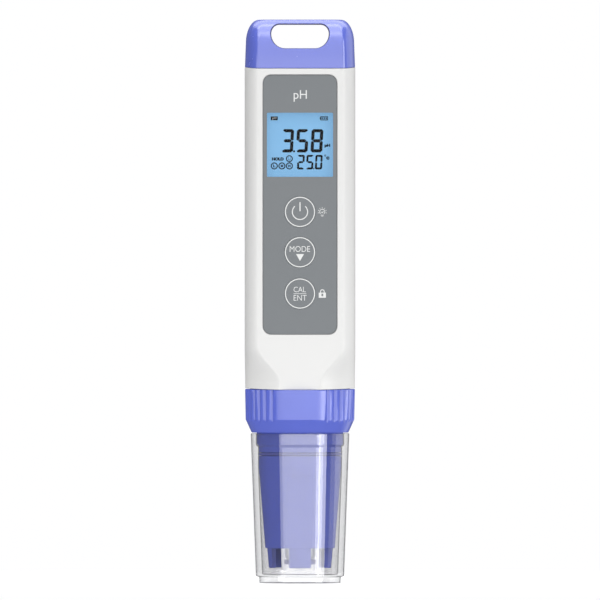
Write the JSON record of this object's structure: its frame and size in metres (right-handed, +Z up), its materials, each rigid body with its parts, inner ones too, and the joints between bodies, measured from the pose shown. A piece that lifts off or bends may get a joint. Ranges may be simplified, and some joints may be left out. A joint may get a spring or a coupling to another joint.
{
  "type": "digital ph meter",
  "caption": "Pen-style pH meter: display and keys on a white body, battery cap with a lanyard slot, and a probe held by a screwed collar inside a clear storage cap.",
  "frame": {"origin": "centre of the underside of the clear storage cap's foot, on which the pen stands", "axes": "+Z up the pen to the lanyard slot, +Y away from the display side, +X to the right of the reader"},
  "size_m": [0.0368, 0.0366, 0.188],
  "materials": {
    "shell_white": "satin moulded",
    "panel_grey": "matte printed film",
    "window_clear": "clear gloss",
    "lcd_blue": "backlit display cell",
    "backlight_white": "diffusing",
    "frame_white": "moulded",
    "strip_rubber": "silicone",
    "board_green": "solder mask",
    "chip_black": "moulded",
    "switch_black": "moulded",
    "key_grey": "matte printed film",
    "screw_steel": "plated",
    "holder_black": "moulded",
    "cell_sleeve": "printed sleeve, gloss",
    "spring_steel": "plated",
    "contact_brass": "plated",
    "cap_blue": "satin moulded",
    "seal_rubber": "matte",
    "collar_blue": "satin moulded",
    "neck_white": "moulded",
    "probe_blue": "satin moulded",
    "glass_clear": "clear gloss",
    "silver": "drawn wire",
    "ceramic": "porous",
    "sensor_steel": "drawn tube",
    "potting_dark": "cast resin",
    "plug_black": "moulded",
    "ribbon_amber": "film",
    "cup_clear": "clear gloss"
  },
  "bodies": {
    "body": {"main_shell": "shell_white", "threaded_neck": "neck_white", "overlay_panel": "panel_grey", "display_window": "window_clear", "display_frame": "frame_white", "lcd_glass": "lcd_blue", "backlight_guide": "backlight_white", "contact_strip": "strip_rubber", "main_board": "board_green", "microcontroller": "chip_black", "input_amplifier": "chip_black", "power_switch": "switch_black", "mode_switch": "switch_black", "cal_switch": "switch_black", "board_screw_lower_left": "screw_steel", "board_screw_lower_right": "screw_steel", "board_screw_upper_left": "screw_steel", "board_screw_upper_right": "screw_steel", "battery_holder": "holder_black", "battery_cell_left": "cell_sleeve", "battery_cell_right": "cell_sleeve", "battery_spring": "spring_steel", "battery_contact": "contact_brass", "probe_socket": "plug_black", "probe_ribbon": "ribbon_amber"},
    "battery_lid": {"battery_cap": "cap_blue", "cap_seal": "seal_rubber", "contact_bridge": "spring_steel", "bridge_carrier": "holder_black"},
    "power_button": {"power_key": "key_grey", "power_plunger": "switch_black"},
    "mode_button": {"mode_key": "key_grey", "mode_plunger": "switch_black"},
    "cal_button": {"cal_key": "key_grey", "cal_plunger": "switch_black"},
    "probe": {"probe_housing": "probe_blue", "glass_electrode": "glass_clear", "silver_wire": "silver", "reference_junction": "ceramic", "temperature_sensor": "sensor_steel", "electrode_seat": "potting_dark", "probe_plug": "plug_black", "probe_seal": "seal_rubber", "storage_seal": "seal_rubber"},
    "collar": {"locking_collar": "collar_blue"},
    "cup": {"storage_cap": "cup_clear"}
  },
  "joints": [
    {"name": "pen_lift", "type": "slide", "parent": "cup", "child": "probe", "axis": [0, 0, 1], "range_m": [0, 0.055]},
    {"name": "collar_turn", "type": "hinge", "parent": "probe", "child": "collar", "pos_m": [0, 0, 0.0575], "axis": [0, 0, -1], "range_deg": [0, 1080]},
    {"name": "body_lift", "type": "slide", "parent": "probe", "child": "body", "axis": [0, 0, 1], "range_m": [0, 0.0075]},
    {"name": "battery_cap_pull", "type": "slide", "parent": "body", "child": "battery_lid", "axis": [0, 0, 1], "range_m": [0, 0.03]},
    {"name": "power_press", "type": "slide", "parent": "body", "child": "power_button", "axis": [0, 1, 0], "range_m": [0, 0.0004], "stiffness_N_per_m": 400, "springref_m": -0.0005},
    {"name": "mode_press", "type": "slide", "parent": "body", "child": "mode_button", "axis": [0, 1, 0], "range_m": [0, 0.0004], "stiffness_N_per_m": 400, "springref_m": -0.0005},
    {"name": "cal_press", "type": "slide", "parent": "body", "child": "cal_button", "axis": [0, 1, 0], "range_m": [0, 0.0004], "stiffness_N_per_m": 400, "springref_m": -0.0005}
  ],
  "couplings": [
    {"joint": "collar_turn", "follows": "body_lift", "rad_per_m": 2513.3}
  ]
}
